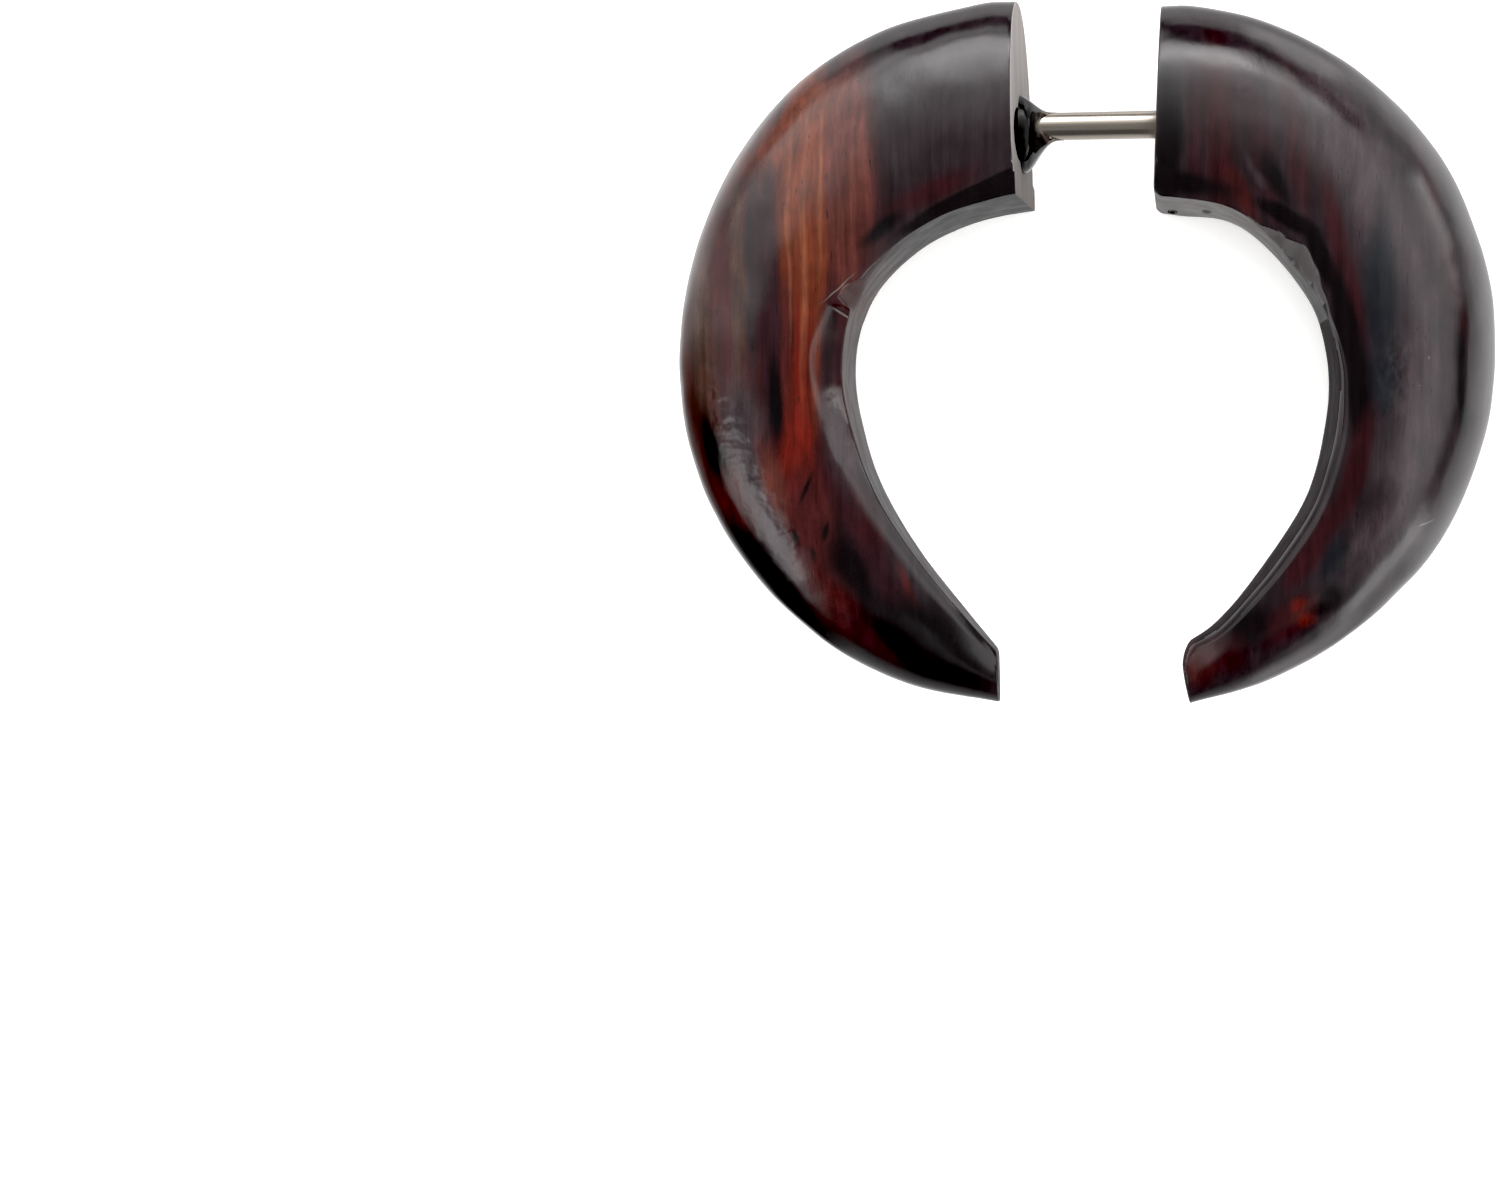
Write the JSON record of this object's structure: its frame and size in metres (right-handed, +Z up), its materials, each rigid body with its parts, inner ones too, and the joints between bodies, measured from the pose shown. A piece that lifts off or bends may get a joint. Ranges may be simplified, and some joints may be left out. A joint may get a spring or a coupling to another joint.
{
  "type": "fake gauge earring",
  "caption": "Carved wooden crescent in two horns on a thin steel post; one horn pulls off the post to pass it through an ear lobe.",
  "frame": {"origin": "on the surface that the earring lies on, under the middle of its outline", "axes": "+X runs along the post from the glued horn to the horn that pulls off, +Y towards the sawn gap, +Z up through the thickness"},
  "size_m": [0.035, 0.0303, 0.008],
  "materials": {
    "striped_wood": "polished, dark with red-brown stripes",
    "dark_wood": "polished, near black with deep red streaks",
    "post_steel": "drawn wire, satin",
    "black_glue": "cured, glossy"
  },
  "bodies": {
    "held": {"left_horn": "striped_wood", "post": "post_steel", "glue_bead": "black_glue"},
    "slider": {"right_horn": "dark_wood"}
  },
  "joints": [
    {"name": "right_horn_slide", "type": "slide", "parent": "held", "child": "slider", "axis": [1, 0, 0], "range_m": [0, 0.014]}
  ]
}
